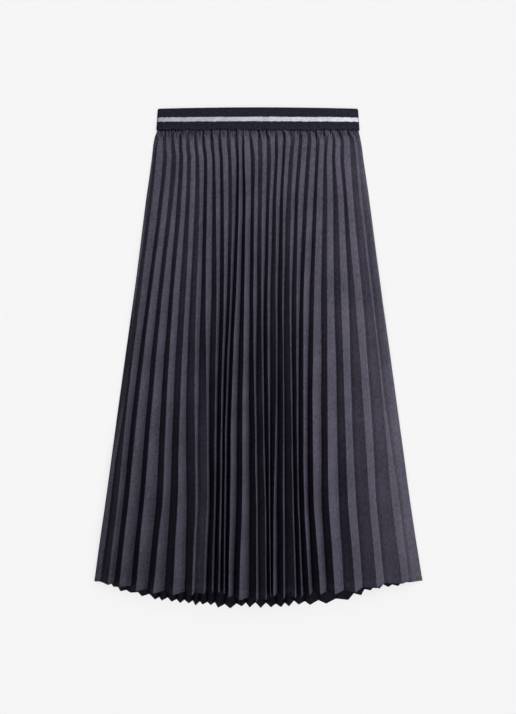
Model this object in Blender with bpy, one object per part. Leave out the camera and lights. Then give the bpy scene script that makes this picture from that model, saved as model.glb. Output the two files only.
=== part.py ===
"""Pleated midi skirt with an elastic waistband, lying flat on its back.

Metres, +Z up.  The skirt lies on z = 0 with its front upwards, its waist toward +Y and its hem
toward -Y.  The origin is at the bottom centre of its box.  Three pieces: the elastic waistband,
a closed flattened loop, and the front and back panels, each one pleated wall of cloth.  Their
tops are tucked inside the band, and their side edges lie on each other.
"""

import math
from collections import namedtuple

import bmesh
import bpy

# Driving dimensions
MM = 0.001
CLOTH = 1.1 * MM            # thickness of the pleated cloth with its creases
SEAM_GAP = 0.3 * MM         # between the panels along the side seams
SIDE_LIFT = 2.6 * MM        # how much higher the side seams lie at the hem than at the waist
VALLEY_TUCK = 2.0 * MM      # how much higher a lower crease ends at the hem than its neighbours

BAND_WALL = 1.6 * MM
BAND_BOTTOM = 0.3710
BAND_TOP = 0.4100           # y at the middle
BAND_DIP = 2.3 * MM         # how much lower the top edge is at the sides
BAND_HALF_BOTTOM = 0.1668
BAND_HALF_TOP = 0.1638
BAND_THICK_BOTTOM = 8.4 * MM
BAND_THICK_TOP = 5.6 * MM
BAND_ROWS = (0.0, 0.04, 0.30, 0.60, 0.93, 1.0)          # shares of its height
BAND_EASE = (0.5, 0.0, 0.0, 0.0, 0.0, 1.0)              # mm its ends draw in at those rows
BAND_ROUND = 5              # spans round each end of the flattened loop
BAND_ACROSS = 8             # spans across each layer of the band

# Levels down the panels, from the edge tucked inside the band to the hem: y in metres, the rest
# in mm.  left and right are the sides, under the height of the lowest crease, back and front how
# high each panel's pleats stand in the middle.  crease is the width of a bend at the middle of
# the cloth, land that of a back bend that rests on the ground, strip the flat width along each
# side seam, and gap what parts the back's upper creases from the front's lower ones.
Level = namedtuple("Level", "y left right under back front crease land strip gap")
LEVELS = [
    Level(0.3790, -162.0, 162.0, 2.0, 0.5, 0.5, 0.8, 1.0, 0.6, 0.3),
    Level(0.3700, -162.8, 162.8, 2.0, 0.7, 0.7, 0.8, 1.0, 0.6, 0.3),
    Level(0.3610, -167.5, 167.0, 1.1, 2.0, 2.2, 0.9, 1.2, 0.7, 0.5),
    Level(0.3450, -172.0, 170.5, 0.3, 3.8, 4.2, 1.1, 1.6, 0.8, 0.8),
    Level(0.3230, -175.0, 173.5, 0.0, 4.8, 5.6, 1.2, 2.2, 0.9, 1.0),
    Level(0.2570, -184.8, 183.8, 0.0, 6.2, 7.4, 1.3, 2.8, 1.0, 1.0),
    Level(0.1740, -195.4, 195.0, 0.0, 7.8, 9.4, 1.4, 3.2, 1.1, 1.0),
    Level(0.0920, -206.2, 206.2, 0.0, 9.4, 11.4, 1.4, 3.4, 1.2, 1.0),
    Level(-0.0200, -220.8, 220.2, 0.0, 11.8, 14.2, 1.4, 3.6, 1.3, 1.0),
    Level(-0.1300, -235.3, 234.0, 0.0, 14.2, 17.0, 1.4, 3.6, 1.4, 1.0),
    Level(-0.2380, -249.8, 248.3, 0.0, 16.6, 19.6, 1.4, 3.6, 1.5, 1.0),
    Level(-0.3100, -260.0, 259.0, 0.0, 18.0, 21.0, 1.4, 3.6, 1.6, 1.0),
    Level(-0.3700, -268.0, 268.0, 0.0, 19.0, 22.0, 1.4, 3.6, 1.6, 1.0),
]
HEM = LEVELS[-1]

# How high the pleats stand across a panel: hundredths of its width, and the share of their
# height in the middle.
MOUND = [(0, 0.16), (2, 0.40), (6, 0.55), (12, 0.70), (22, 0.86), (35, 0.96), (50, 1.00),
         (65, 0.96), (78, 0.84), (88, 0.66), (94, 0.52), (98, 0.38), (100, 0.16)]

# The front's pleats.  At the y of each of FOLD_AT, crest is the place of the upper crease and
# face the width of the side that drops from it to the right, both in hundredths of the panel's
# width.  hem is how many mm the pleat reaches below the side seams at the hem, and rise how high
# it stands against MOUND.
FOLD_AT = (0.361, 0.323, 0.257, 0.092, -0.073, -0.238, -0.370)
Pleat = namedtuple("Pleat", "crest face hem rise")
FRONT = [
    Pleat((1.4, 2.1, 2.9, 3.0, 3.1, 4.1, 4.3), (2.0, 3.1, 3.0, 2.5, 2.0, 1.7, 1.7), 3, 1.00),
    Pleat((5.2, 7.2, 7.8, 7.2, 7.1, 7.8, 7.9), (2.4, 2.1, 2.2, 2.6, 3.0, 3.3, 3.4), 5, 0.96),
    Pleat((8.8, 11.7, 12.2, 11.7, 12.1, 12.9, 13.1), (2.4, 1.3, 1.7, 2.7, 3.0, 3.7, 3.2), 11, 1.02),
    Pleat((12.9, 14.9, 16.1, 16.3, 17.3, 19.0, 18.3), (1.8, 1.7, 1.7, 2.2, 2.2, 2.2, 3.2), 14, 0.97),
    Pleat((16.5, 18.6, 19.8, 21.1, 22.2, 24.0, 24.3), (2.1, 2.0, 2.1, 1.7, 1.8, 2.7, 3.3), 16, 1.03),
    Pleat((20.2, 22.4, 24.1, 25.5, 27.3, 29.8, 30.0), (2.2, 2.2, 1.6, 1.7, 1.1, 0.6, 0.6), 17, 0.95),
    Pleat((24.0, 26.2, 27.4, 29.3, 31.7, 33.7, 33.7), (2.4, 2.2, 2.2, 2.1, 0.6, 0.6, 0.6), 14, 1.00),
    Pleat((28.4, 29.9, 31.4, 33.6, 34.6, 35.7, 35.7), (2.0, 2.1, 1.8, 1.1, 0.9, 0.6, 0.6), 12, 0.96),
    Pleat((32.1, 33.6, 34.9, 36.5, 37.0, 37.6, 37.8), (2.4, 2.3, 2.0, 1.0, 0.7, 0.7, 0.7), 12, 0.99),
    Pleat((36.5, 37.7, 38.8, 39.0, 38.7, 39.3, 39.5), (2.1, 2.1, 1.5, 0.9, 0.7, 0.6, 0.6), 14, 0.95),
    Pleat((40.5, 41.2, 41.6, 41.2, 40.6, 41.0, 41.0), (1.8, 1.5, 1.7, 1.8, 2.0, 1.9, 1.4), 19, 1.02),
    Pleat((43.4, 43.9, 44.6, 44.5, 44.6, 44.9, 44.2), (2.4, 2.7, 2.2, 2.1, 2.2, 2.3, 2.9), 24, 1.00),
    Pleat((47.0, 48.8, 48.4, 48.1, 48.6, 49.3, 49.3), (2.9, 1.3, 1.5, 1.3, 0.8, 0.8, 0.8), 26, 1.04),
    Pleat((52.0, 52.3, 51.9, 51.3, 51.5, 52.1, 52.1), (2.1, 2.0, 1.8, 1.0, 0.8, 0.8, 0.7), 23, 0.98),
    Pleat((56.0, 56.4, 55.3, 53.8, 53.6, 53.6, 53.5), (2.2, 1.7, 1.3, 1.0, 0.8, 0.7, 0.6), 18, 0.95),
    Pleat((59.8, 59.5, 58.3, 57.0, 56.4, 55.2, 54.6), (2.3, 2.0, 1.5, 0.8, 0.7, 1.1, 1.2), 17, 0.99),
    Pleat((64.1, 62.7, 61.3, 59.5, 58.8, 58.0, 57.5), (2.0, 2.1, 1.4, 0.8, 0.7, 0.9, 0.8), 22, 1.03),
    Pleat((68.2, 66.7, 64.9, 62.4, 61.7, 61.1, 61.0), (1.9, 1.9, 1.6, 1.0, 0.8, 0.8, 0.8), 20, 0.97),
    Pleat((72.0, 70.4, 68.0, 65.2, 63.9, 62.9, 63.0), (2.3, 2.4, 2.3, 1.2, 0.9, 0.8, 0.8), 19, 0.95),
    Pleat((76.4, 74.7, 72.1, 68.0, 66.3, 65.1, 65.4), (2.0, 2.4, 2.6, 2.3, 1.7, 1.5, 1.2), 16, 1.00),
    Pleat((80.3, 78.7, 76.3, 72.1, 69.6, 68.3, 68.7), (2.2, 2.4, 2.6, 2.9, 3.2, 2.7, 2.2), 15, 1.02),
    Pleat((84.3, 82.6, 80.8, 77.3, 75.0, 73.1, 73.2), (2.2, 2.4, 2.7, 2.9, 3.4, 3.4, 2.8), 15, 0.97),
    Pleat((87.9, 86.5, 85.5, 82.9, 81.1, 79.4, 79.3), (2.5, 2.4, 2.6, 3.0, 2.6, 2.8, 2.5), 13, 1.03),
    Pleat((92.1, 90.7, 89.8, 88.5, 87.8, 86.5, 86.0), (2.6, 3.1, 2.7, 3.0, 2.8, 2.5, 2.5), 7, 0.98),
    Pleat((96.8, 96.4, 95.3, 95.2, 94.9, 94.0, 93.7), (1.1, 1.1, 1.2, 0.9, 0.9, 2.5, 2.3), 1, 0.90),
]
EDGE_FOLD_AT = [(-0.240, 1.0), (-0.090, 0.0)]   # how far the fold down the left edge stands, by y
EDGE_FOLD = ((0.6, 0.80), (1.7, 0.12))          # place and height of its crest and its crease
LAST_BEND_AT = [(-0.370, 98.3), (0.257, 98.4), (0.361, 98.9)]   # on the slope to the right edge
LAST_BEND = 0.6                                 # mm it bows out of that slope at the hem

# The back's pleats: the crest's place at the hem, in hundredths of the width, and how many mm its
# hem reaches below the side seams.  At the waist they stand evenly.
BackPleat = namedtuple("BackPleat", "place hem")
BACK = [
    BackPleat(3.4, 3), BackPleat(5.7, 8), BackPleat(8.2, 15), BackPleat(11.2, 18),
    BackPleat(14.7, 22), BackPleat(18.2, 27), BackPleat(20.8, 28), BackPleat(23.8, 31),
    BackPleat(26.4, 32), BackPleat(28.7, 34), BackPleat(30.9, 35), BackPleat(33.1, 36),
    BackPleat(35.4, 37), BackPleat(38.0, 39), BackPleat(41.4, 40), BackPleat(44.9, 38),
    BackPleat(47.7, 38), BackPleat(50.7, 39), BackPleat(53.8, 39), BackPleat(57.0, 37),
    BackPleat(59.5, 36), BackPleat(62.6, 35), BackPleat(66.0, 34), BackPleat(70.6, 33),
    BackPleat(77.6, 27), BackPleat(81.4, 19), BackPleat(84.4, 14), BackPleat(87.0, 9),
    BackPleat(89.8, 8), BackPleat(92.8, 5), BackPleat(96.0, 2),
]
BACK_FIRST = 3.2            # the first and last crests of the back at the waist
BACK_LAST = 96.8

# Bend: one bend of a panel's cross-section, at the middle of the cloth.
Bend = namedtuple("Bend", "x y z width")


def smooth(table, at):
    """Read a value from rising (place, value) pairs, along a curve that passes through each."""
    if at <= table[0][0]:
        return table[0][1]
    if at >= table[-1][0]:
        return table[-1][1]
    i = next(k for k in range(len(table) - 1) if at <= table[k + 1][0])
    (a, low), (b, high) = table[i], table[i + 1]
    limit = 3 * abs(high - low) / (b - a)
    slopes = []
    for k in (i, i + 1):
        before = table[max(k - 1, 0)]
        after = table[min(k + 1, len(table) - 1)]
        slope = (after[1] - before[1]) / (after[0] - before[0])
        slopes.append(max(-limit, min(limit, slope)))
    t = (at - a) / (b - a)
    h = b - a
    return ((2 * t ** 3 - 3 * t ** 2 + 1) * low + (t ** 3 - 2 * t ** 2 + t) * h * slopes[0]
            + (3 * t ** 2 - 2 * t ** 3) * high + (t ** 3 - t ** 2) * h * slopes[1])


def at_level(level, values):
    """Read one of a pleat's rows of values, given at FOLD_AT, at a level."""
    return smooth(list(zip(reversed(FOLD_AT), reversed(values))), level.y)


def across(level, place):
    """x at a place across the panel, in hundredths of its width."""
    return (level.left + (level.right - level.left) * place / 100) * MM


def side_height(level):
    """Height of the plane where the two panels meet at the side seams."""
    return level.under * MM + CLOTH + SEAM_GAP / 2 + SIDE_LIFT * level.back / HEM.back


def parting(level, place):
    """Height of the surface between the panels: the back's pleats below it, the front's above."""
    middle = (level.under + level.back + level.gap / 2) * MM + CLOTH
    side = side_height(level)
    edge = MOUND[0][1]
    return side + (middle - side) * (smooth(MOUND, place) - edge) / (1 - edge)


def from_parting(level):
    """From the surface between the panels to the middle of either panel's cloth."""
    return level.gap / 2 * MM + CLOTH / 2


def hem_y(level, reach):
    """y of a bend: the level's own, and at the hem as far below it as the bend reaches, in mm."""
    return level.y - (reach * MM if level is HEM else 0)


def front_crest(level, place, reach, rise):
    """An upper crease of the front."""
    height = level.front * MM * smooth(MOUND, place) * rise
    z = parting(level, place) + from_parting(level) + height
    return Bend(across(level, place), hem_y(level, reach), z, level.crease * MM)


def front_bends(level):
    """The front's bends at one level, from the left edge to the right one."""
    places = [at_level(level, pleat.crest) for pleat in FRONT]
    faces = [at_level(level, pleat.face) for pleat in FRONT]
    width = level.crease * MM
    side = side_height(level) + SEAM_GAP / 2 + CLOTH / 2
    strip = 100 * level.strip / (level.right - level.left)
    bends = []

    # The fold down the left edge.  Above its start its two bends lie on the slope that rises to
    # the first crest.
    stands = smooth(EDGE_FOLD_AT, level.y)
    slope_top = front_crest(level, places[0], 0, FRONT[0].rise)
    for share, (place, rise) in zip((1 / 3, 2 / 3), EDGE_FOLD):
        on_slope = strip + (places[0] - strip) * share
        here = on_slope + (place - on_slope) * stands
        folded = front_crest(level, here, 0, rise).z
        z = (side + (slope_top.z - side) * share) * (1 - stands) + folded * stands
        bends.append(Bend(across(level, here), level.y, z, width))

    for i, (pleat, place, face) in enumerate(zip(FRONT, places, faces)):
        bends.append(front_crest(level, place, pleat.hem, pleat.rise))
        following = FRONT[min(i + 1, len(FRONT) - 1)]
        reach = (pleat.hem + following.hem) / 2 - VALLEY_TUCK / MM
        z = parting(level, place + face) + from_parting(level)
        bends.append(Bend(across(level, place + face), hem_y(level, reach), z, width))

    # From the last crease the cloth slopes down to the right edge, a little bowed.
    place = smooth(LAST_BEND_AT, level.y)
    crease = bends[-1]
    end = across(level, 100 - strip)
    share = (across(level, place) - crease.x) / (end - crease.x)
    bow = LAST_BEND * MM * level.front / HEM.front
    bends.append(Bend(across(level, place), level.y, crease.z + (side - crease.z) * share + bow,
                      width))
    return bends


def back_bends(level):
    """The back's bends at one level: its lower ones rest on the ground, and its upper ones reach
    the surface between the panels."""
    fall = (LEVELS[0].y - level.y) / (LEVELS[0].y - HEM.y)
    step = (BACK_LAST - BACK_FIRST) / (len(BACK) - 1)
    places = []
    for i, pleat in enumerate(BACK):
        at_waist = BACK_FIRST + step * i
        places.append(at_waist + (pleat.place - at_waist) * fall)
    bends = []
    for i, (pleat, place) in enumerate(zip(BACK, places)):
        if i:
            reach = (BACK[i - 1].hem + pleat.hem) / 2 - VALLEY_TUCK / MM
            middle = across(level, (places[i - 1] + place) / 2)
            z = level.under * MM + CLOTH / 2
            bends.append(Bend(middle, hem_y(level, reach), z, level.land * MM))
        z = parting(level, place) - from_parting(level)
        bends.append(Bend(across(level, place), hem_y(level, pleat.hem), z, level.crease * MM))
    return bends


def middle_line(level, bends, side_z):
    """The cross-section at the middle of the cloth: the flat strip along each side seam, and two
    points for each bend."""
    left = across(level, 0)
    right = across(level, 100)
    strip = level.strip * MM
    points = [(left, level.y, side_z), (left + strip, level.y, side_z)]
    for bend in bends:
        points.append((bend.x - bend.width / 2, bend.y, bend.z))
        points.append((bend.x + bend.width / 2, bend.y, bend.z))
    points += [(right - strip, level.y, side_z), (right, level.y, side_z)]
    return points


def wall_ring(points):
    """A closed loop round the cloth's thickness: the middle line moved out by half of it, then
    back along the other side."""
    upper = []
    lower = []
    last = len(points) - 1
    for i, (x, y, z) in enumerate(points):
        before = points[max(i - 1, 0)]
        after = points[min(i + 1, last)]
        into = math.atan2(z - before[2], x - before[0]) if i else 0.0
        out = math.atan2(after[2] - z, after[0] - x) if i < last else 0.0
        normal = (into + out + math.pi) / 2
        reach = CLOTH / 2 / math.cos((out - into) / 2)
        dx = math.cos(normal) * reach
        dz = math.sin(normal) * reach
        upper.append((x + dx, y, z + dz))
        lower.append((x - dx, y, z - dz))
    return upper + lower[::-1]


def loft(name, rings, ring_closed, material):
    """Skin closed loops in order; cap the ends, or join the last loop to the first.

    Each span is two triangles.  The spans of a loop's second half are split the other way round,
    so the two sides of a wall turn alike and keep its thickness where a pleat twists.
    """
    mesh = bpy.data.meshes.new(name)
    build = bmesh.new()
    rows = [[build.verts.new(point) for point in ring] for ring in rings]
    pairs = list(zip(rows, rows[1:]))
    if ring_closed:
        pairs.append((rows[-1], rows[0]))
    size = len(rows[0])
    half = size // 2
    for row, following in pairs:
        for i in range(size):
            j = (i + 1) % size
            if i < half:
                build.faces.new((row[i], row[j], following[j]))
                build.faces.new((row[i], following[j], following[i]))
            else:
                build.faces.new((row[i], row[j], following[i]))
                build.faces.new((row[j], following[j], following[i]))
    if not ring_closed:
        for row in (rows[0], rows[-1]):
            for i in range(half - 1):
                build.faces.new((row[i], row[i + 1], row[size - 2 - i], row[size - 1 - i]))
    bmesh.ops.recalc_face_normals(build, faces=build.faces)
    build.to_mesh(mesh)
    build.free()
    piece = bpy.data.objects.new(name, mesh)
    bpy.context.scene.collection.objects.link(piece)
    mesh.materials.append(material)


def panel(name, bends_at, seam_side, material):
    """A pleated panel through one closed loop for each level."""
    rings = []
    for level in LEVELS:
        side_z = side_height(level) + seam_side * (SEAM_GAP / 2 + CLOTH / 2)
        rings.append(wall_ring(middle_line(level, bends_at(level), side_z)))
    loft(name, rings, False, material)


def band_loop(share, ease, inset):
    """One flattened loop of the waistband at a share of its height, inset from its outside."""
    half = BAND_HALF_BOTTOM + (BAND_HALF_TOP - BAND_HALF_BOTTOM) * share - ease * MM - inset
    thick = BAND_THICK_BOTTOM + (BAND_THICK_TOP - BAND_THICK_BOTTOM) * share
    radius = thick / 2 - inset
    straight = half - radius
    points = []
    for side, start in ((1, -90), (-1, 90)):
        for i in range(BAND_ROUND + 1):
            angle = math.radians(start + 180 * i / BAND_ROUND)
            points.append((side * straight + radius * math.cos(angle),
                           thick / 2 + radius * math.sin(angle)))
        for i in range(1, BAND_ACROSS):
            points.append((side * straight * (1 - 2 * i / BAND_ACROSS),
                           thick / 2 + side * radius))
    loop = []
    for x, z in points:
        top = BAND_TOP - BAND_DIP * (x / BAND_HALF_TOP) ** 2
        loop.append((x, BAND_BOTTOM + (top - BAND_BOTTOM) * share, z))
    return loop


def waistband(material):
    """The elastic: up its outside, over the top edge and down its inside."""
    rings = [band_loop(share, ease, 0) for share, ease in zip(BAND_ROWS, BAND_EASE)]
    rings += [band_loop(share, ease, BAND_WALL)
              for share, ease in reversed(list(zip(BAND_ROWS, BAND_EASE)))]
    loft("waistband", rings, True, material)


def finish(name, colour, roughness):
    """A plain material of one colour."""
    material = bpy.data.materials.new(name)
    material.use_nodes = True
    shader = material.node_tree.nodes["Principled BSDF"]
    shader.inputs["Base Color"].default_value = (*colour, 1.0)
    shader.inputs["Roughness"].default_value = roughness
    shader.inputs["Metallic"].default_value = 0.0
    return material


for old in list(bpy.data.objects):
    bpy.data.objects.remove(old, do_unlink=True)

pleated_cloth = finish("pleated_cloth", (0.040, 0.037, 0.052), 0.45)
elastic = finish("elastic", (0.014, 0.014, 0.026), 0.75)
panel("skirt_back", back_bends, -1, pleated_cloth)
panel("skirt_front", front_bends, 1, pleated_cloth)
waistband(elastic)
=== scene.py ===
"""Looks of a pleated midi skirt with a striped elastic waistband, lying flat, front side up."""

import math

import bmesh
import bpy
import numpy as np
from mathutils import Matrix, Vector


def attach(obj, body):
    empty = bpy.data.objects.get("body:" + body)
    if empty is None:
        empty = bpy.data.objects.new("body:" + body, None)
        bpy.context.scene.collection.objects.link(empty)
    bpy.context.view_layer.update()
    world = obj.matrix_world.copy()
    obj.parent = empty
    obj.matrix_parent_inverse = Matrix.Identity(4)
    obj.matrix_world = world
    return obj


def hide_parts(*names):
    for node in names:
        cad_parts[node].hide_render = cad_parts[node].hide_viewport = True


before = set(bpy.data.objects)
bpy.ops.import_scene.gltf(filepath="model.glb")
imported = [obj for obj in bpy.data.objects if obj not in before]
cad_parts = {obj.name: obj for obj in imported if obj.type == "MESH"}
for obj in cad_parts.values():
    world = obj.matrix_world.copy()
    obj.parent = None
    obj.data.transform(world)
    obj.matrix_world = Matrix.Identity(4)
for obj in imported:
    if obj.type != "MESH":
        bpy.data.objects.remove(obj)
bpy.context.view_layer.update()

# ------------------------------------------------------------------------------- pleated cloth
# The skirt's cloth is a dark charcoal twill with a satin face and a faint violet cast, woven
# from fine filament yarn.  Both panels are cut from it and steamed between card moulds, which
# set the creases hard.
# The cloth's finish also holds painted shade beside the creases and painted light on the right-hand
# sides of the pleats.

TWILL_PITCH = 0.0009
CLOTH_DARK = (0.0229, 0.0206, 0.0299, 1.0)
CLOTH_LIGHT = (0.0553, 0.0501, 0.0704, 1.0)
INSIDE_DARK = (0.0185, 0.0166, 0.0240, 1.0)     # darker than the right side: partly the duller wrong side, partly painted shade for the back's inside under the front
INSIDE_LIGHT = (0.0440, 0.0400, 0.0560, 1.0)
TWILL_SLANT = 0.8               # how far the ribs run across for each metre along
RIB_DRIFT = 0.0007              # how far a rib wanders from straight
RIB_SHARE = 0.38                # how strongly the ribs and the crossing yarns show
YARN_SHARE = 0.12
SLUB_TILT = math.radians(-39)
RIB_DEPTH = 0.00008
SLUB_DEPTH = 0.00006
GATHER_DEPTH = 0.0060
GATHERED = ((0.3600, 0.3780), (0.0, 1.0))       # heights where the fine creases die out, strength
# The painted crease shade, which darkens or lightens the cloth's colour: distances from a crease,
# then how much is added at each.
VALLEY_SHADE = ((0.0020, 0.0090), (-0.38, 0.0))       # on a left-hand side, by its lower crease
CREST_SHADE = ((0.0004, 0.0060), (-0.26, 0.0))         # on a left-hand side, by its upper crease
LIT_SIDE_LIGHT = ((-0.0080, -0.0010), (0.0, 0.12))   # on a right-hand side


def new_group(name, inputs, outputs):
    """An empty shader node group; inputs and outputs are (name, socket type, default) rows."""
    group = bpy.data.node_groups.new(name, "ShaderNodeTree")
    for socket, kind, default in inputs:
        made = group.interface.new_socket(socket, in_out="INPUT", socket_type=kind)
        if default is not None:
            made.default_value = default
    for socket, kind in outputs:
        group.interface.new_socket(socket, in_out="OUTPUT", socket_type=kind)
    entry = group.nodes.new("NodeGroupInput")
    result = group.nodes.new("NodeGroupOutput")
    return group, entry, result


def maths(tree, operation, first, second=None, third=None):
    """A Math node; each value is a socket to link or a number to set."""
    node = tree.nodes.new("ShaderNodeMath")
    node.operation = operation
    for i, value in enumerate((first, second, third)):
        if isinstance(value, (int, float)):
            node.inputs[i].default_value = value
        elif value is not None:
            tree.links.new(value, node.inputs[i])
    return node.outputs[0]


def vector_scale(tree, vector, scale):
    """A vector multiplied by three numbers."""
    node = tree.nodes.new("ShaderNodeVectorMath")
    node.operation = "MULTIPLY"
    tree.links.new(vector, node.inputs[0])
    node.inputs[1].default_value = scale
    return node.outputs[0]


def noise(tree, vector, scale, detail=2.0, roughness=0.5):
    """A Noise texture's value."""
    node = tree.nodes.new("ShaderNodeTexNoise")
    tree.links.new(vector, node.inputs["Vector"])
    node.inputs["Scale"].default_value = scale
    node.inputs["Detail"].default_value = detail
    node.inputs["Roughness"].default_value = roughness
    return node.outputs["Fac"]


def blend_colours(tree, factor, first, second):
    """A Mix node between two colours, each a socket or four numbers."""
    node = tree.nodes.new("ShaderNodeMix")
    node.data_type = "RGBA"
    tree.links.new(factor, node.inputs[0])
    for socket, value in ((6, first), (7, second)):
        if isinstance(value, tuple):
            node.inputs[socket].default_value = value
        else:
            tree.links.new(value, node.inputs[socket])
    return node.outputs[2]


def bump(tree, height, distance, strength, normal=None):
    """A Bump node's normal, from a height."""
    node = tree.nodes.new("ShaderNodeBump")
    node.inputs["Distance"].default_value = distance
    node.inputs["Strength"].default_value = strength
    tree.links.new(height, node.inputs["Height"])
    if normal is not None:
        tree.links.new(normal, node.inputs["Normal"])
    return node.outputs["Normal"]


def twill_group():
    """Diagonal twill ribs cut by the crossing yarns, and the slubs that make them uneven."""
    group, entry, result = new_group(
        "twill weave",
        [("Cloth", "NodeSocketVector", None), ("Pitch", "NodeSocketFloat", 0.001)],
        [("Ribs", "NodeSocketFloat"), ("Slubs", "NodeSocketFloat"), ("Tone", "NodeSocketFloat")])
    place = entry.outputs["Cloth"]
    parts = group.nodes.new("ShaderNodeSeparateXYZ")
    group.links.new(place, parts.inputs[0])
    across, along = parts.outputs["X"], parts.outputs["Y"]
    turn = maths(group, "DIVIDE", 2 * math.pi, entry.outputs["Pitch"])
    slant = maths(group, "ADD", across, maths(group, "MULTIPLY", along, TWILL_SLANT))
    drift = maths(group, "MULTIPLY", noise(group, place, 420.0), RIB_DRIFT)
    ribs = maths(group, "SINE", maths(group, "MULTIPLY", maths(group, "ADD", slant, drift), turn))
    double_turn = maths(group, "MULTIPLY", turn, 2.0)
    yarns = maths(group, "SINE", maths(group, "MULTIPLY", across, double_turn))
    woven = maths(group, "ADD", maths(group, "MULTIPLY", ribs, RIB_SHARE),
                  maths(group, "MULTIPLY", yarns, YARN_SHARE))
    group.links.new(maths(group, "ADD", woven, 0.5), result.inputs["Ribs"])
    tilt = group.nodes.new("ShaderNodeVectorRotate")
    tilt.rotation_type = "Z_AXIS"
    tilt.inputs["Angle"].default_value = SLUB_TILT
    group.links.new(place, tilt.inputs["Vector"])
    streaks = vector_scale(group, tilt.outputs[0], (1.0, 0.22, 1.0))
    group.links.new(noise(group, streaks, 620.0, 3.0, 0.6), result.inputs["Slubs"])
    group.links.new(noise(group, place, 17.0, 3.0, 0.55), result.inputs["Tone"])
    return group


TWILL = twill_group()


def uv_place(material, layer):
    """A UV map's output socket."""
    node = material.node_tree.nodes.new("ShaderNodeUVMap")
    node.uv_map = layer
    return node.outputs["UV"]


def ranged(tree, value, before, after):
    """A Map Range node: the smooth step from one pair of values to another."""
    node = tree.nodes.new("ShaderNodeMapRange")
    node.interpolation_type = "SMOOTHSTEP"
    tree.links.new(value, node.inputs["Value"])
    for socket, number in zip(("From Min", "From Max", "To Min", "To Max"), before + after):
        node.inputs[socket].default_value = number
    return node.outputs[0]


def crease_shade_group():
    """Painted shade and light beside a crease, in the cloth's colour: the left-hand sides are
    darkened by both their creases and the right-hand sides lightened by their lower one. Fold is
    how far the cloth is from its pleat's lower crease and its upper one, both negative on the
    right-hand sides."""
    group, entry, result = new_group("painted crease shade", [("Fold", "NodeSocketVector", None)],
                                     [("Shade", "NodeSocketFloat")])
    parts = group.nodes.new("ShaderNodeSeparateXYZ")
    group.links.new(entry.outputs["Fold"], parts.inputs[0])
    low, high = parts.outputs["X"], parts.outputs["Y"]
    # Painted shade on the left-hand sides, by their lower and upper creases, and painted light on
    # the right-hand sides, by their lower crease.
    left = maths(group, "GREATER_THAN", low, 0.0)
    valley_shade = ranged(group, low, *VALLEY_SHADE)
    edge = ranged(group, high, *CREST_SHADE)
    lit_side_light = ranged(group, low, *LIT_SIDE_LIGHT)
    shade = maths(group, "ADD", maths(group, "MULTIPLY", left, maths(group, "ADD", valley_shade, edge)),
                  maths(group, "MULTIPLY", maths(group, "SUBTRACT", 1.0, left), lit_side_light))
    group.links.new(maths(group, "ADD", shade, 1.0), result.inputs["Shade"])
    return group


def gathers_group():
    """Fine uneven creases that run down from the elastic, where the cloth is sewn in full, and
    die out.  Place is on the object, in metres."""
    group, entry, result = new_group("fine gathers", [("Place", "NodeSocketVector", None)],
                                     [("Height", "NodeSocketFloat")])
    place = entry.outputs["Place"]
    parts = group.nodes.new("ShaderNodeSeparateXYZ")
    group.links.new(place, parts.inputs[0])
    creased = noise(group, vector_scale(group, place, (1.0, 0.12, 1.0)), 480.0, 1.0)
    reach = maths(group, "MULTIPLY", noise(group, vector_scale(group, place, (1.0, 0.0, 1.0)),
                                           190.0, 0.0), 0.012)
    near = ranged(group, maths(group, "ADD", parts.outputs["Y"], reach), *GATHERED)
    group.links.new(maths(group, "MULTIPLY", creased, near), result.inputs["Height"])
    return group


def pleated_twill(name, dark, light, roughness):
    """The finish of one side of the cloth."""
    material = bpy.data.materials.new(name)
    material.use_nodes = True
    tree = material.node_tree
    shader = tree.nodes["Principled BSDF"]
    # Painted crease shade, which scales the cloth's colour below.
    crease_shade_node = tree.nodes.new("ShaderNodeGroup")
    crease_shade_node.node_tree = PAINTED_CREASE_SHADE
    tree.links.new(uv_place(material, "folds"), crease_shade_node.inputs["Fold"])
    gathers = tree.nodes.new("ShaderNodeGroup")
    gathers.node_tree = GATHERS
    tree.links.new(tree.nodes.new("ShaderNodeTexCoord").outputs["Object"], gathers.inputs["Place"])
    weave = tree.nodes.new("ShaderNodeGroup")
    weave.node_tree = TWILL
    weave.inputs["Pitch"].default_value = TWILL_PITCH
    tree.links.new(uv_place(material, "cloth"), weave.inputs["Cloth"])
    slubs = maths(tree, "MULTIPLY", maths(tree, "SUBTRACT", weave.outputs["Slubs"], 0.5), 3.2)
    shade = maths(tree, "MULTIPLY", maths(tree, "SUBTRACT", weave.outputs["Tone"], 0.5), 1.1)
    rib_shade = maths(tree, "MULTIPLY", maths(tree, "SUBTRACT", weave.outputs["Ribs"], 0.5), 0.6)
    mixed = maths(tree, "ADD", maths(tree, "ADD", slubs, shade), maths(tree, "ADD", rib_shade, 0.5))
    clamped = tree.nodes.new("ShaderNodeClamp")
    tree.links.new(mixed, clamped.inputs["Value"])
    shaded = tree.nodes.new("ShaderNodeVectorMath")
    shaded.operation = "SCALE"
    tree.links.new(blend_colours(tree, clamped.outputs[0], dark, light), shaded.inputs[0])
    tree.links.new(crease_shade_node.outputs["Shade"], shaded.inputs["Scale"])
    tree.links.new(shaded.outputs[0], shader.inputs["Base Color"])
    tree.links.new(maths(tree, "ADD", roughness,
                         maths(tree, "MULTIPLY", weave.outputs["Slubs"], 0.16)),
                   shader.inputs["Roughness"])
    gathered = bump(tree, gathers.outputs["Height"], GATHER_DEPTH, 1.0)
    slubbed = bump(tree, weave.outputs["Slubs"], SLUB_DEPTH, 0.5, gathered)
    tree.links.new(bump(tree, weave.outputs["Ribs"], RIB_DEPTH, 0.5, slubbed),
                   shader.inputs["Normal"])
    shader.inputs["Specular IOR Level"].default_value = 0.08
    return material


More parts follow.
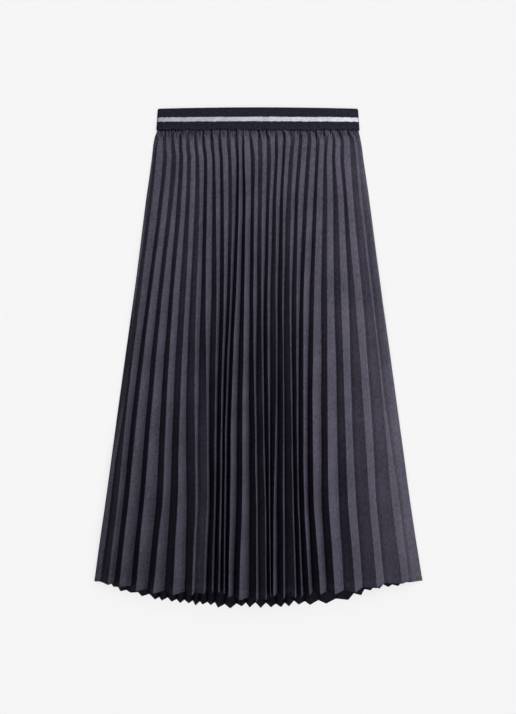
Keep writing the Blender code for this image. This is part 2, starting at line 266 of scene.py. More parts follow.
# Painted shade and light beside the creases, shared by both finishes of the cloth.
PAINTED_CREASE_SHADE = crease_shade_group()
GATHERS = gathers_group()
RIGHT_SIDE = pleated_twill("pleated satin twill", CLOTH_DARK, CLOTH_LIGHT, 0.50)
WRONG_SIDE = pleated_twill("pleated twill, wrong side", INSIDE_DARK, INSIDE_LIGHT, 0.70)

# --------------------------------------------------------------------------------- front panel
# The front is one sector of the cloth with 27 sunray pleats, which open from the waist to the
# hem.  Its creases run down the solid's own, its top is gathered a little where the elastic
# grips it, and its side edges roll round to meet the back's at the side seams.

CLOTH_WALL = 0.00045
CLOTH_TOP = 0.3790              # the panels' top edges, hidden inside the elastic
WAIST_LEVEL = 0.33              # just below the gathers, where the waist is measured
CREASE_ROUND = 0.0006           # how far each side of a pressed crease the cloth is rounded
CREASE_SOFT = 0.45              # how far a crease is drawn in toward its neighbours, as a share
FACE_STEPS = 6                  # columns across each face of a pleat
HEM = -0.3700                   # the hem's height at the side edges
HEM_DEPTH = 0.0070              # how much of the cloth is turned up and sewn
ROWS_DOWN = [(0.3440, 0.0015), (0.3000, 0.0040), (-0.3500, 0.0100),
             (HEM + HEM_DEPTH + 0.0003, 0.0065), (HEM + HEM_DEPTH - 0.0003, 0.0006), (HEM, 0.0034)]
SOLID_HALF = 0.00055            # half of the solid's wall, which the fine cloth settles by
BAND_EDGE = 0.3716              # the elastic's lower edge
GRIP_FROM = 0.3530              # the creases lean from here up, and fully from GRIP_FULL
GRIP_FULL = 0.3715
GRIP_LEAN = 0.66
ROLLED = 6                      # columns that carry each side edge round to the back's
HELD_FOR = 0.06                 # how far below the elastic the cloth is held from wandering
ACROSS_WANDER = (0.055, 0.00022)        # how far down the cloth it turns once, and how much
UP_WANDER = (0.070, 0.00025)
BOW_WANDER = (0.080, 0.010)
BOW_EACH = 0.006                # how much the bows of the sides differ, as a share of their width
UNSHADED = 0.05                # a distance from a crease too large to be shaded
# Each gather under the elastic: its half width, height and reach down the cloth, its slant, and
# how far it stands from the one before.
GATHER_WIDTH = (0.0008, 0.0015)
GATHER_HEIGHT = (0.0014, 0.0036)
GATHER_REACH = (0.004, 0.014)
GATHER_SLANT = 0.15
GATHER_APART = (0.0026, 0.0056)
# Where the creases lie otherwise than the solid's, in mm: for each its number from the left,
# then rows of height, shift across and shift up.
SIDES_MOVED = {0: [(371, -3.8, 0), (364, -2.8, 0), (356, -2.0, 0), (340, -0.7, 0), (290, 0, 0),
                   (120, 0.6, 0), (0, -0.5, 0), (-100, -1.1, 0), (-370, -1.5, 0)],
               -1: [(371, 2.8, 0), (366, 1.3, 0), (360, 0.1, 0), (356, -0.1, 0), (300, -0.4, 0),
                    (240, -1.1, 0), (90, -1.7, 0), (20, -0.5, 0), (-70, 0.5, 0), (-150, 1.3, 0),
                    (-300, 1.5, 0), (-370, 2.1, 0)]}
FRONT_MOVED = {1: [(356, 0, 0), (323, -2.4, 1.0), (207, -2.3, 2.0), (92, -3.0, 2.0), (0, -1.0, 0.5),
                   (-50, 0, 0), (-106, -2.0, 1.0), (-172, -3.6, 2.5), (-238, -2.7, 1.8),
                   (-304, -2.2, 1.8), (-370, -2.2, 1.4)],
               2: [(356, 0, 0), (323, -3.6, 0), (207, -3.6, -1.0), (92, -4.3, -1.0), (0, -1.5, 0),
                   (-50, 0, 0), (-106, -1.5, -0.5), (-172, -3.3, -1.0), (-238, -0.5, 0),
                   (-304, 0, -0.5), (-370, 0, -0.5)],
               3: [(0, 0, 0), (-220, 0, 2.0), (-370, 0, 2.2)],
               5: [(300, 0, -0.6), (240, 0, -0.6), (100, 0, 2.2), (-50, 0, 3.0), (-370, 0, 3.2)],
               7: [(340, 0, -0.6), (260, 0, -1.5), (130, 0, 0), (-150, 0, 0), (-220, 0, 1.5),
                   (-370, 0, 1.5)],
               9: [(-200, 0, 0), (-330, 0, 2.8)],
               11: [(340, 0, -0.8), (260, 0, -2.0), (100, 0, -1.6), (-50, 0, -1.0),
                    (-170, 0, 0), (-250, 0, 1.2), (-370, 0, 1.4)],
               13: [(340, 0, -0.8), (260, 0, -2.4), (100, 0, -1.8), (-50, 0, -0.6),
                    (-140, 0.4, 0), (-370, 0.5, 0)],
               14: [(0, 0, 0), (-140, 0, 5.0), (-300, 0, 11.0)],
               17: [(0, 0, 0), (-140, 0.6, 0), (-190, 1.0, 0), (-305, 1.8, 0)],
               18: [(0, 0, 0), (-140, 0.5, 0), (-190, 1.0, 0), (-305, 1.4, 0)],
               19: [(60, 0, 0), (-50, -0.5, 0), (-140, 0.3, 0), (-190, 1.0, 0), (-305, 1.2, 0)],
               20: [(-50, 0, 0), (-140, 0.7, 0), (-190, 1.4, 0), (-305, 1.5, 0)],
               21: [(340, 0, -0.8), (260, 0, -2.2), (170, 0, -0.6), (90, -0.3, 0),
                    (-50, -0.6, 0), (-190, -0.3, 0), (-300, 0.4, 0), (-370, 0.8, 0)],
               22: [(-50, 0, 0), (-140, 0.5, 0), (-190, 0.9, 0)],
               23: [(340, 0, 0.6), (260, 0, 2.0), (60, 0, 2.0), (-120, 0, 0), (-190, 0.4, 0)],
               24: [(-50, 0, 0), (-140, 0.5, 0), (-190, 0.8, 0), (-305, 1.2, 0)],
               25: [(340, 0, 0.6), (260, 0, 1.8), (60, 0, 1.8), (-120, 0, 0), (-190, 0.5, 0)],
               26: [(-50, 0, 0), (-190, 0.8, 0)],
               27: [(0, 0, 0), (-50, 0.3, 0), (-140, 1.0, 0), (-190, 0.8, 0), (-305, 1.2, 0)],
               28: [(-50, 0, 0), (-140, 0.3, 1.6), (-190, -0.5, 2.2), (-330, 0, 6.0)],
               29: [(340, 0, -0.8), (260, 0, -2.2), (150, 0, 0), (10, 0.4, 0), (-70, 0.9, 0),
                    (-190, 0.8, 0), (-305, 1.3, 0)],
               31: [(200, 0, 0), (100, -0.4, 0), (0, 0, 0), (-70, 1.0, 0), (-140, 1.0, 0),
                    (-190, 0.5, 0)],
               33: [(60, 0, 0), (10, 0.4, 0), (-140, 0.3, 0), (-190, 0, 0)],
               34: [(-190, 0, 0), (-305, 0.8, 0)],
               35: [(60, 0, 0), (10, 0.9, 0), (-370, 0.8, 0)],
               36: [(-190, 0, 0), (-305, -0.4, 0)],
               37: [(340, 0, -0.6), (260, 0, -1.0), (100, 0, 0), (10, 0.5, 0), (-70, 1.1, 0),
                    (-190, 1.2, 0), (-305, 0.9, 0)],
               39: [(-100, 0, 0), (-190, 1.0, 0), (-305, 0.4, 0)],
               42: [(-100, 0, 0), (-190, 0.9, 0), (-305, 0, 0)],
               46: [(100, 0, 0), (-50, 0, 1.5), (-300, 0, 1.5)],
               51: [(371, 0, 1.0), (290, 0, 1.8), (160, 0, 0.8), (20, 0, 0), (-150, 0, 0),
                    (-330, 0, 1.8)],
               52: [(200, 0, 0), (120, -0.8, 0), (-90, -0.8, 0.5), (-150, 0, 2.6), (-370, 0, 2.6)],
               53: [(290, 1.4, 0), (240, 2.6, 1.6), (180, 3.4, 4.0), (100, 3.6, 4.6),
                    (20, 3.6, 4.4), (-80, 2.8, 2.4), (-160, 1.8, 1.0), (-300, 0, 0.8)]}


def crease_lines(node):
    """A solid panel's creases, from the waist to the hem: for each level a row of points at the
    middle of its wall, with the side edges first and last."""
    solid = bmesh.new()
    solid.from_mesh(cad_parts[node].data)
    bmesh.ops.remove_doubles(solid, verts=solid.verts, dist=1e-6)
    solid.normal_update()
    points = np.array([(*corner.co, corner.normal.z) for corner in solid.verts])
    solid.free()
    points = points[np.argsort(-points[:, 1], kind="stable")]
    around = int(np.sum(points[:, 1] > points[0, 1] - 1e-5))
    levels = []
    for start in range(0, len(points), around):
        ring = points[start:start + around]
        upper, lower = (ring[ring[:, 3] * side > 0] for side in (1, -1))
        upper = upper[np.argsort(upper[:, 0])]
        lower = lower[np.argsort(lower[:, 0])]
        middle = (upper[:, :3] + lower[:, :3]) / 2
        creases = (middle[2:-2:2] + middle[3:-2:2]) / 2
        levels.append(np.vstack([middle[:1], creases, middle[-1:]]))
    return np.array(levels)


def run_down(levels, heights):
    """Smooth curves down the creases, read at the given heights.  A crease's height is that of
    its level's side edge, so that all of a row's points belong together."""
    knots = levels[:, 0, 1]
    slopes = np.empty_like(levels)
    slopes[1:-1] = (levels[2:] - levels[:-2]) / (knots[2:] - knots[:-2])[:, None, None]
    slopes[0] = (levels[1] - levels[0]) / (knots[1] - knots[0])
    slopes[-1] = (levels[-1] - levels[-2]) / (knots[-1] - knots[-2])
    span = np.clip(np.searchsorted(-knots, -heights, side="right") - 1, 0, len(knots) - 2)
    gap = (knots[span + 1] - knots[span])[:, None, None]
    t = ((heights - knots[span]) / (knots[span + 1] - knots[span]))[:, None, None]
    return ((2 * t ** 3 - 3 * t ** 2 + 1) * levels[span] + (t ** 3 - 2 * t ** 2 + t) * gap
            * slopes[span] + (3 * t ** 2 - 2 * t ** 3) * levels[span + 1]
            + (t ** 3 - t ** 2) * gap * slopes[span + 1])


def row_heights():
    """The heights of a panel's rows of points, close where the cloth is gathered."""
    heights = [CLOTH_TOP]
    for end, step in ROWS_DOWN:
        count = max(1, round((heights[-1] - end) / step))
        heights += list(np.linspace(heights[-1], end, count + 1)[1:])
    return np.array(heights)


def wander(chance, heights, lines, step, size):
    """Soft random offsets for each of a number of lines, which turn about once a step."""
    place = (heights[0] - heights) / step
    table = chance.normal(0, size, (int(place[-1]) + 2, lines))
    low = place.astype(int)
    share = place - low
    share = (share * share * (3 - 2 * share))[:, None]
    return table[low] * (1 - share) + table[low + 1] * share


def lean(creases, heights):
    """Press each upper crease over toward the lower one on its left where the elastic grips."""
    grip = np.clip((heights - GRIP_FROM) / (GRIP_FULL - GRIP_FROM), 0, 1)
    grip = (grip * grip * (3 - 2 * grip))[:, None]
    crests = creases[:, 3:-1:2, 0]
    creases[:, 3:-1:2, 0] = crests - GRIP_LEAN * grip * (crests - creases[:, 2:-2:2, 0])


def pleated_rows(node, chance, moved):
    """A panel's rows of points with the cloth's own irregularity, the columns across it."""
    heights = row_heights()
    creases = run_down(crease_lines(node), heights)
    for number, rows in (*SIDES_MOVED.items(), *moved.items()):
        levels, across, up = np.array(rows[::-1]).T * 0.001
        creases[:, number, 0] += np.interp(heights, levels, across)
        creases[:, number, 2] += np.interp(heights, levels, up)
    lean(creases, heights)
    lines = creases.shape[1]
    free = np.clip((BAND_EDGE - heights) / HELD_FOR, 0, 1)[:, None]
    creases[:, 1:-1, 0] += (wander(chance, heights, lines, *ACROSS_WANDER) * free)[:, 1:-1]
    creases[:, 1:-1, 2] += (wander(chance, heights, lines, *UP_WANDER) * free)[:, 1:-1]
    bows = wander(chance, heights, lines, *BOW_WANDER) + chance.normal(0, BOW_EACH, lines)
    columns = []
    shares = np.arange(1, FACE_STEPS - 1) / (FACE_STEPS - 1)
    for i in range(lines - 1):
        first, second = creases[:, i], creases[:, i + 1]
        run = second - first
        length = np.linalg.norm(run, axis=1, keepdims=True)
        edge = np.minimum(0.2, CREASE_ROUND / length)
        normal = np.stack([-run[:, 2], 0 * run[:, 0], run[:, 0]], axis=1) / length
        columns.append(first)
        for share in (0.0, *shares, 1.0):
            t = edge + (1 - 2 * edge) * share
            swell = np.sin(math.pi * share) * bows[:, i:i + 1] * length
            columns.append(first + run * t + normal * swell)
    columns.append(creases[:, -1])
    points = np.stack(columns, axis=1)
    turns = np.arange(FACE_STEPS + 1, points.shape[1] - 1, FACE_STEPS + 1)
    chords = (points[:, turns - 1] + points[:, turns + 1]) / 2
    points[:, turns] += (chords - points[:, turns]) * CREASE_SOFT
    return heights, points


def tuck_in(points, heights, chance):
    """Small gathers just under the elastic, each of its own width, height, slant and length,
    which die out within a couple of centimetres."""
    down = np.maximum(BAND_EDGE - heights, 0)[:, None]
    place = points[0, 0, 0]
    while place < points[0, -1, 0]:
        width = chance.uniform(*GATHER_WIDTH)
        height = chance.uniform(*GATHER_HEIGHT)
        reach = chance.uniform(*GATHER_REACH)
        middle = place + chance.uniform(-GATHER_SLANT, GATHER_SLANT) * down
        ridge = np.exp(-((points[:, :, 0] - middle) / width) ** 2)
        points[:, :, 2] += height * ridge * np.exp(-(down / reach) ** 2)
        place += chance.uniform(*GATHER_APART)


def unrolled(points, heights):
    """Each point's place on the flat cloth: a sector, whose creases run from its apex."""
    steps = np.linalg.norm(np.diff(points[:, :, (0, 2)], axis=1), axis=2)
    widths = np.concatenate([np.zeros((len(heights), 1)), np.cumsum(steps, axis=1)], axis=1)
    whole = widths[:, -1:]
    waist = int(np.argmin(abs(heights - WAIST_LEVEL)))
    opening = float((whole[-1, 0] - whole[waist, 0]) / (heights[waist] - heights[-1]))
    radius = (whole[waist, 0] / opening + heights[waist] - heights)[:, None]
    angle = (widths / whole - 0.5) * opening
    return np.stack([radius * np.sin(angle), -radius * np.cos(angle)], axis=2)


def half_wall(heights):
    """Half of the cloth's thickness at each height, which doubles where the hem is turned up."""
    return np.where(heights < HEM + HEM_DEPTH, 1.0, 0.5) * CLOTH_WALL


def fold_places(points, rolled, row, column):
    """For each corner of the sheet's quads, four to a quad, how far it is from its pleat's lower
    crease and its upper one, both negative on the right-hand sides."""
    steps = np.linalg.norm(np.diff(points[:, :, (0, 2)], axis=1), axis=2)
    ways = np.concatenate([np.zeros((len(points), 1)), np.cumsum(steps, axis=1)], axis=1)
    strip = np.repeat(column.reshape(-1, 4).min(axis=1), 4)
    side = (strip - rolled) // (FACE_STEPS + 1)
    last = (points.shape[1] - 1 - 2 * rolled) // (FACE_STEPS + 1) - 1
    first = rolled + np.clip(side, 0, last) * (FACE_STEPS + 1)
    before = ways[row, column] - ways[row, first]
    after = ways[row, first + FACE_STEPS + 1] - ways[row, column]
    left = (side % 2 == 0)[:, None]
    places = np.where(left, np.stack([before, after], axis=1), -np.stack([after, before], axis=1))
    # The painted crease shade is left off the first side, the last side and the rolled edges, and
    # the shade by the upper crease off the side before the last.
    places[side == last - 1, 1] = UNSHADED
    places[(side < 1) | (side >= last)] = UNSHADED
    return places


def lay_cloth(name, points, heights, rolled, finishes):
    """A sheet of cloth through rows of points, with its UV maps, its wall and the finishes of
    its upper and its lower side."""
    bpy.ops.object.select_all(action="DESELECT")
    rows, columns = points.shape[:2]
    bpy.ops.mesh.primitive_grid_add(x_subdivisions=columns - 1, y_subdivisions=rows - 1, size=2)
    cloth = bpy.context.object
    cloth.name = cloth.data.name = name
    mesh = cloth.data
    flat = np.array([corner.co for corner in mesh.vertices])
    column = np.rint((flat[:, 0] + 1) / 2 * (columns - 1)).astype(int)
    row = np.rint((1 - flat[:, 1]) / 2 * (rows - 1)).astype(int)
    mesh.vertices.foreach_set("co", points[row, column].astype(np.float32).ravel())
    mesh.uv_layers[0].name = "cloth"
    loops = np.empty(len(mesh.loops), int)
    mesh.loops.foreach_get("vertex_index", loops)
    places = unrolled(points, heights)[row, column][loops]
    mesh.uv_layers["cloth"].data.foreach_set("uv", places.astype(np.float32).ravel())
    folds = fold_places(points, rolled, row[loops], column[loops])
    mesh.uv_layers.new(name="folds")
    mesh.uv_layers["folds"].data.foreach_set("uv", folds.astype(np.float32).ravel())
    mesh.update()
    doubled = cloth.vertex_groups.new(name="turned-up hem")
    for weight in (0.5, 1.0):
        picked = np.flatnonzero(half_wall(heights)[row] == weight * CLOTH_WALL)
        doubled.add(picked.tolist(), weight, "REPLACE")
    wall = cloth.modifiers.new("wall", "SOLIDIFY")
    wall.thickness = 2 * CLOTH_WALL
    wall.vertex_group = doubled.name
    wall.offset = 0
    wall.material_offset = 1
    mesh.materials.clear()
    for finish in finishes:
        mesh.materials.append(finish)
    bpy.ops.object.modifier_apply(modifier="wall")
    bpy.ops.object.shade_smooth_by_angle(angle=math.radians(80))
    return cloth


def seam_roll(points, back_points):
    """Round half circles that carry the front's side edges down to the back's."""
    rolled = [points]
    for side, column in ((-1, 0), (1, -1)):
        front_edge = points[:, column]
        back_edge = back_points[:, column]
        middle = (front_edge[:, 2] + back_edge[:, 2]) / 2
        radius = (front_edge[:, 2] - back_edge[:, 2]) / 2
        arc = []
        for turn in (30, 60, 90, 120, 150, 180):
            angle = math.radians(turn)
            across = front_edge[:, 0] + side * (np.sin(angle) - 1) * radius
            arc.append(np.stack([across, front_edge[:, 1], middle + radius * np.cos(angle)],
                                axis=1))
        arc = np.stack(arc if side > 0 else arc[::-1], axis=1)
        rolled = rolled + [arc] if side > 0 else [arc] + rolled
    front = points.copy()
    front[:, 0, 0] += (points[:, 0, 2] - back_points[:, 0, 2]) / 2
    front[:, -1, 0] -= (points[:, -1, 2] - back_points[:, -1, 2]) / 2
    rolled = [front if part is points else part for part in rolled]
    return np.concatenate(rolled, axis=1)


def sewing_thread():
    """Fine dark polyester thread, with its twist as a slanting stripe across each stitch."""
    material = bpy.data.materials.new("sewing thread")
    material.use_nodes = True
    tree = material.node_tree
    shader = tree.nodes["Principled BSDF"]
    place = tree.nodes.new("ShaderNodeTexCoord").outputs["Object"]
    uneven = noise(tree, place, 900.0, 2.0)
    tree.links.new(blend_colours(tree, uneven, THREAD_DARK, THREAD_LIGHT),
                   shader.inputs["Base Color"])
    tree.links.new(bump(tree, noise(tree, vector_scale(tree, place, (1.0, 0.4, 1.0)), 4000.0),
                        0.0001, 0.5), shader.inputs["Normal"])
    shader.inputs["Roughness"].default_value = 0.42
    shader.inputs["Sheen Weight"].default_value = 0.1
    return material


THREAD_DARK = (0.010, 0.009, 0.014, 1.0)
THREAD_LIGHT = (0.026, 0.023, 0.034, 1.0)
THREAD_FINISH = sewing_thread()
STITCH = (0.0023, 0.00034, 0.00078)     # a stitch's length, width and depth through the cloth
STITCH_PITCH = 0.0031


def sew_line(name, path, keep_above):
    """Stitches end to end along a path, joined as one piece; those too near the floor are
    left out."""
    bpy.ops.object.select_all(action="DESELECT")
    bpy.ops.mesh.primitive_uv_sphere_add(segments=6, ring_count=4, radius=0.5)
    bpy.ops.transform.resize(value=STITCH, center_override=(0, 0, 0))
    bpy.ops.object.transform_apply(location=True, rotation=True, scale=True)
    seam = bpy.context.object
    seam.name = seam.data.name = name
    shape = np.array([corner.co for corner in seam.data.vertices])
    faces = [tuple(face.vertices) for face in seam.data.polygons]
    way = np.concatenate([[0], np.cumsum(np.linalg.norm(np.diff(path, axis=0), axis=1))])
    stops = np.arange(STITCH_PITCH / 2, way[-1], STITCH_PITCH)
    at = [np.stack([np.interp(stops + shift, way, path[:, axis]) for axis in range(3)], axis=1)
          for shift in (-STITCH[0] / 2, 0.0, STITCH[0] / 2)]
    forward = at[2] - at[0]
    forward /= np.linalg.norm(forward, axis=1, keepdims=True)
    out = np.cross(forward, (0.0, 1.0, 0.0))
    out /= np.linalg.norm(out, axis=1, keepdims=True)
    beside = np.cross(out, forward)
    placed = (at[1][:, None] + shape[:, 0, None] * forward[:, None]
              + shape[:, 1, None] * beside[:, None] + shape[:, 2, None] * out[:, None])
    placed = placed[placed[:, :, 2].min(axis=1) > keep_above]
    corners = placed.reshape(-1, 3)
    every = [tuple(corner + i * len(shape) for corner in face)
             for i in range(len(placed)) for face in faces]
    seam.data.clear_geometry()
    seam.data.from_pydata(corners.tolist(), [], every)
    seam.data.update()
    bpy.ops.object.shade_smooth()
    seam.data.materials.clear()
    seam.data.materials.append(THREAD_FINISH)
    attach(seam, "root")
    return seam


def hem_path(points, heights):
    """The line across a panel just under the top of its turned-up hem."""
    level = HEM + HEM_DEPTH - 0.0010
    share = (level - heights[-2]) / (heights[-3] - heights[-2])
    return points[-2] + (points[-3] - points[-2]) * share


heights, back_points = pleated_rows("skirt_back", np.random.default_rng(23), {})
heights, front_points = pleated_rows("skirt_front", np.random.default_rng(11), FRONT_MOVED)
tuck_in(front_points, heights, np.random.default_rng(5))
tuck_in(back_points, heights, np.random.default_rng(6))
front_points = seam_roll(front_points, back_points)

front_cloth = lay_cloth("front_pleats", front_points, heights, ROLLED, (RIGHT_SIDE, WRONG_SIDE))
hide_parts("skirt_front")
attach(front_cloth, "root")
front_hem = sew_line("front_hem_stitches", hem_path(front_points, heights), 0.0)

# ---------------------------------------------------------------------------------- back panel
# The back is cut and pleated as the front is, with 31 pleats.  It lies under the front, its
# lower creases on the surface, and its hem shows below the front's.

SETTLES_WITHIN = 0.003          # cloth nearer to the floor than this comes down to it
HEM_LOOSE = 0.022               # how far above its edge the hem hangs unevenly
HEM_ACROSS = (-0.0016, 0.0011)  # how far each tip of the hem stands out of line
HEM_ALONG = (-0.0030, 0.0004)
settle = np.clip(1 - (back_points[:, :, 2] - SOLID_HALF) / SETTLES_WITHIN, 0, 1)
back_points[:, :, 2] -= settle * (SOLID_HALF - half_wall(heights))[:, None]
near_hem = np.clip(1 - (heights - HEM) / HEM_LOOSE, 0, 1)[:, None] ** 2
hem_chance = np.random.default_rng(31)
crease_at = np.arange(0, back_points.shape[1], FACE_STEPS + 1)
every_column = np.arange(back_points.shape[1])
for axis, least, most in ((0, *HEM_ACROSS), (1, *HEM_ALONG)):
    nudges = hem_chance.uniform(least, most, len(crease_at))
    nudges[:3] = nudges[-3:] = 0.0
    back_points[:, :, axis] += near_hem * np.interp(every_column, crease_at, nudges)
back_points[:, :, 2] = np.maximum(back_points[:, :, 2], half_wall(heights)[:, None] + 0.0001)
back_cloth = lay_cloth("back_pleats", back_points, heights, 0, (WRONG_SIDE, RIGHT_SIDE))
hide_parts("skirt_back")
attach(back_cloth, "root")
back_hem = sew_line("back_hem_stitches", hem_path(back_points, heights), 0.0)

# ----------------------------------------------------------------------------------- waistband
# The waistband is one ring of 38 mm woven elastic, navy, with a stripe of silver metallic yarn
# woven in.  The tops of the panels are sewn inside its lower edge, and it lies pressed flat.

ELASTIC_WALL = 0.0014
BAND_TOP = 0.4089
BAND_DIP = 0.0023
BAND_MIDDLE = -0.0006
BAND_HALF = (0.1674, 0.1651)    # half its width at the lower and the upper edge
BAND_THICK = (0.0084, 0.0056)
BAND_COLUMNS = 420
BAND_ROWS = 20
STRIPE_AT = (0.375, 0.567)      # shares of its height that the stripe runs between
STRIPE_SILVER = (0.415, 0.405, 0.445, 1.0)
STRIPE_SHADOW = (0.190, 0.185, 0.210, 1.0)
NAVY_DARK = (0.0010, 0.0010, 0.0045, 1.0)
NAVY_LIGHT = (0.0136, 0.0136, 0.0225, 1.0)
WEFT_PITCH = 0.0009
WARP_PITCH = 0.0011
STRIPE_FRAY = 0.0042            # how far the stripe's edges stray
TOP_ROUND = (0.93, 0.0010)      # the share of its height where its top corners draw in, how far
EDGE_WAVE = 0.00065             # how far its lower edge strays from straight, and lifts
EDGE_LIFT = 0.00012
EDGE_SHARE = 0.35               # the share of its height that the waves reach
EDGE_KNOTS = 90


def elastic_finish():
    """Navy ribbed elastic with its woven stripe, laid out on the band's own UV map in metres."""
    material = bpy.data.materials.new("striped elastic")
    material.use_nodes = True
    tree = material.node_tree
    shader = tree.nodes["Principled BSDF"]
    place = uv_place(material, "band")
    parts = tree.nodes.new("ShaderNodeSeparateXYZ")
    tree.links.new(place, parts.inputs[0])
    round_it, up = parts.outputs["X"], parts.outputs["Y"]
    height = BAND_TOP - BAND_EDGE
    strays = maths(tree, "SUBTRACT", noise(tree, place, 340.0), 0.5)
    frayed = maths(tree, "MULTIPLY", strays, STRIPE_FRAY)
    level = maths(tree, "ADD", up, frayed)
    inside = maths(tree, "MULTIPLY",
                   maths(tree, "GREATER_THAN", level, STRIPE_AT[0] * height),
                   maths(tree, "LESS_THAN", level, STRIPE_AT[1] * height))
    weft = maths(tree, "SINE", maths(tree, "MULTIPLY", up, 2 * math.pi / WEFT_PITCH))
    warp = maths(tree, "SINE", maths(tree, "MULTIPLY", round_it, 2 * math.pi / WARP_PITCH))
    woven = maths(tree, "ADD", maths(tree, "MULTIPLY", weft, 0.25),
                  maths(tree, "MULTIPLY", warp, 0.25))
    mottle = tree.nodes.new("ShaderNodeMapRange")
    mottle.inputs["From Min"].default_value = 0.38
    mottle.inputs["From Max"].default_value = 0.62
    tree.links.new(noise(tree, vector_scale(tree, place, (1.0, 0.7, 1.0)), 430.0, 4.0, 0.7),
                   mottle.inputs["Value"])
    navy = blend_colours(tree, mottle.outputs[0], NAVY_DARK, NAVY_LIGHT)
    sparkle = noise(tree, vector_scale(tree, place, (0.45, 1.0, 1.0)), 620.0, 4.0, 0.75)
    stretches = noise(tree, vector_scale(tree, place, (1.0, 0.0, 1.0)), 60.0, 2.0, 0.6)
    glint = tree.nodes.new("ShaderNodeMapRange")
    glint.inputs["From Min"].default_value = 0.52
    glint.inputs["From Max"].default_value = 0.88
    tree.links.new(maths(tree, "ADD", sparkle, maths(tree, "MULTIPLY", stretches, 0.4)),
                   glint.inputs["Value"])
    silver = blend_colours(tree, glint.outputs[0], STRIPE_SHADOW, STRIPE_SILVER)
    tree.links.new(blend_colours(tree, inside, navy, silver), shader.inputs["Base Color"])
    tree.links.new(maths(tree, "SUBTRACT", 0.8, maths(tree, "MULTIPLY", inside, 0.42)),
                   shader.inputs["Roughness"])
    tree.links.new(maths(tree, "MULTIPLY", inside, 0.35), shader.inputs["Metallic"])
    tree.links.new(bump(tree, woven, 0.00022, 0.6, bump(tree, sparkle, 0.0003, 0.35)),
                   shader.inputs["Normal"])
    shader.inputs["Specular IOR Level"].default_value = 0.1
    return material


def flattened_ring(turn, share):
    """A point of the pressed ring and its way round, from a full turn's share and the height's."""
    half = BAND_HALF[0] + (BAND_HALF[1] - BAND_HALF[0]) * share
    rounding = max(0.0, (share - TOP_ROUND[0]) / (1 - TOP_ROUND[0]))
    half -= TOP_ROUND[1] * rounding ** 2
    thick = BAND_THICK[0] + (BAND_THICK[1] - BAND_THICK[0]) * share
    radius = thick / 2
    straight = half - radius
    whole = 4 * straight + 2 * math.pi * radius
    way = turn * whole
    run = 2 * straight
    bend = math.pi * radius
    if way < run:
        x, z = -straight + way, thick
    elif way < run + bend:
        angle = math.pi / 2 - (way - run) / radius
        x, z = straight + radius * math.cos(angle), radius + radius * math.sin(angle)
    elif way < 2 * run + bend:
        x, z = straight - (way - run - bend), 0.0
    else:
        angle = -math.pi / 2 - (way - 2 * run - bend) / radius
        x, z = -straight + radius * math.cos(angle), radius + radius * math.sin(angle)
    top = BAND_TOP - BAND_DIP * (x / BAND_HALF[1]) ** 2
    return BAND_MIDDLE + x, BAND_EDGE + (top - BAND_EDGE) * share, z, way


bpy.ops.object.select_all(action="DESELECT")
bpy.ops.mesh.primitive_grid_add(x_subdivisions=BAND_COLUMNS, y_subdivisions=BAND_ROWS, size=2)
band = bpy.context.object
band.name = band.data.name = "elastic_waistband"
band_mesh = band.data
flat = np.array([corner.co for corner in band_mesh.vertices])
turns = (flat[:, 0] + 1) / 2
shares = (flat[:, 1] + 1) / 2
ring = np.array([flattened_ring(turn, share) for turn, share in zip(turns, shares)])
band_chance = np.random.default_rng(9)
wave_table = band_chance.normal(0, 1, EDGE_KNOTS)
wave = np.interp(turns, np.linspace(0, 1, EDGE_KNOTS), np.append(wave_table[:-1], wave_table[0]))
near_edge = np.clip(1 - shares / EDGE_SHARE, 0, 1)
ring[:, 1] += wave * EDGE_WAVE * near_edge
ring[:, 2] += wave * EDGE_LIFT * near_edge * (ring[:, 2] > BAND_THICK[0] / 2)
band_mesh.vertices.foreach_set("co", ring[:, :3].astype(np.float32).ravel())
band_mesh.uv_layers[0].name = "band"
loops = np.empty(len(band_mesh.loops), int)
band_mesh.loops.foreach_get("vertex_index", loops)
uv = np.stack([ring[:, 3], shares * (BAND_TOP - BAND_EDGE)], axis=1)[loops]
band_mesh.uv_layers["band"].data.foreach_set("uv", uv.astype(np.float32).ravel())
band_mesh.update()
bpy.ops.object.mode_set(mode="EDIT")
bpy.ops.mesh.select_all(action="SELECT")
bpy.ops.mesh.remove_doubles(threshold=0.00001)
bpy.ops.mesh.normals_make_consistent(inside=False)
bpy.ops.object.mode_set(mode="OBJECT")
wall = band.modifiers.new("wall", "SOLIDIFY")
wall.thickness = ELASTIC_WALL
wall.offset = -1
bpy.ops.object.modifier_apply(modifier="wall")
edges = band.modifiers.new("rounded edges", "BEVEL")
edges.width = 0.0004
edges.segments = 2
edges.limit_method = "ANGLE"
edges.angle_limit = math.radians(60)
bpy.ops.object.modifier_apply(modifier="rounded edges")
bpy.ops.object.shade_smooth_by_angle(angle=math.radians(60))
band_mesh.materials.clear()
band_mesh.materials.append(elastic_finish())
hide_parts("waistband")
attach(band, "root")
SEWN_AT = 0.06                  # the share of the elastic's height where the panels are sewn to it
sewn_round = np.array([flattened_ring(turn, SEWN_AT)[:3] for turn in np.linspace(0, 1, 900)])
band_seam = sew_line("waistband_stitches", sewn_round, BAND_THICK[0] / 2)

# ---------------------------------------------------------------------------- floor and studio
# A plain pale floor, seen from straight above.  The main light comes from beyond the waist and
# to the right, a softbox stands low on the right, and a wide weak light hangs overhead.  The
# back panel's inside and the floor have even lights of their own.

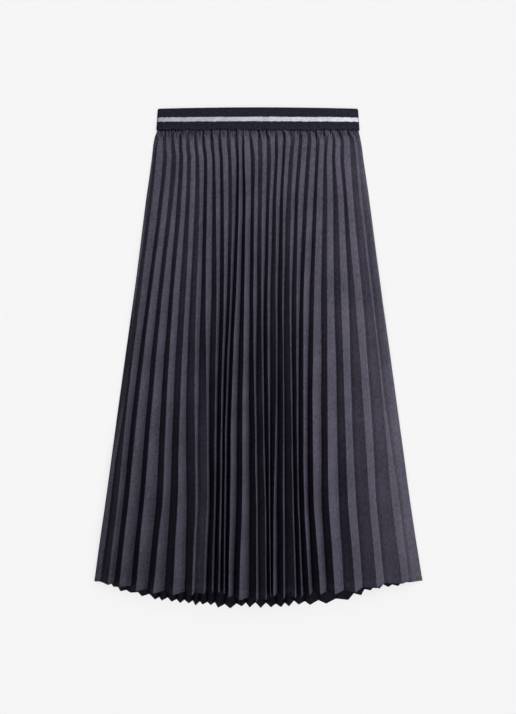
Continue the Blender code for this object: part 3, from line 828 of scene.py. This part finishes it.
bpy.ops.object.select_all(action="DESELECT")
bpy.ops.mesh.primitive_plane_add(size=30)
floor = bpy.context.object
floor.name = "floor"
paper = bpy.data.materials.new("pale paper")
paper.use_nodes = True
paper_shader = paper.node_tree.nodes["Principled BSDF"]
paper_shader.inputs["Base Color"].default_value = (0.87, 0.87, 0.87, 1)
paper_shader.inputs["Roughness"].default_value = 0.9
paper_shader.inputs["Specular IOR Level"].default_value = 0.0
floor.data.materials.append(paper)
floor.visible_diffuse = False

lit_apart = {}
for name, pieces in (("front", (front_cloth, front_hem, band, band_seam)),
                     ("back", (back_cloth, back_hem)), ("floor", (floor,))):
    lit_apart[name] = bpy.data.collections.new(name)
    for piece in pieces:
        lit_apart[name].objects.link(piece)


def studio_light(name, kind, energy, lit, place, colour=(1.0, 1.0, 1.0)):
    """A light at its place, which shines toward the skirt's middle on one of the groups."""
    light = bpy.data.objects.new(name, bpy.data.lights.new(name, kind))
    light.data.energy = energy
    light.data.color = colour
    light.location = place
    light.rotation_euler = Vector(place).to_track_quat("Z", "Y").to_euler()
    light.visible_camera = False
    light.light_linking.receiver_collection = lit_apart[lit]
    bpy.context.scene.collection.objects.link(light)
    return light


key = studio_light("key light", "AREA", 73.0, "front", (0.919, 1.592, 1.543), (0.98, 0.99, 1.03))
key.data.size = 0.63
side = studio_light("side softbox", "AREA", 8.3, "front", (0.730, -0.120, 0.516), (1.03, 1.0, 0.97))
side.data.size = 0.6
fill = studio_light("overhead fill", "AREA", 7.8, "front", (0.0, 0.0, 1.2), (0.93, 0.96, 1.12))
fill.data.size = 4.0
hem_fill = studio_light("hem fill", "AREA", 26.0, "back", (0.0, 0.0, 1.2), (0.93, 0.96, 1.12))
hem_fill.data.size = 4.0
hem_fill.light_linking.blocker_collection = lit_apart["back"]
wash = studio_light("floor light", "SUN", 3.35, "floor", (0.1, 0.15, 1.0))
wash.data.angle = math.radians(120)
wash.light_linking.blocker_collection = lit_apart["floor"]

world = bpy.data.worlds.new("studio")
bpy.context.scene.world = world
world.use_nodes = True
world.node_tree.nodes["Background"].inputs["Color"].default_value = (0.95, 0.97, 1.0, 1)
world.node_tree.nodes["Background"].inputs["Strength"].default_value = 0.006
bpy.context.scene.view_settings.view_transform = "Standard"

CAMERA_HEIGHT = 1.8
SENSOR = 24.0                   # in mm
VIEW_TALL = 714 * 0.00165       # the height of what is seen: rows of pixels of 1.65 mm
camera = bpy.data.objects.new("camera", bpy.data.cameras.new("camera"))
camera.location = (-0.0004, -0.002, CAMERA_HEIGHT)
camera.data.sensor_fit = "VERTICAL"
camera.data.sensor_height = SENSOR
camera.data.lens = SENSOR / VIEW_TALL * CAMERA_HEIGHT
bpy.context.scene.collection.objects.link(camera)
bpy.context.scene.camera = camera
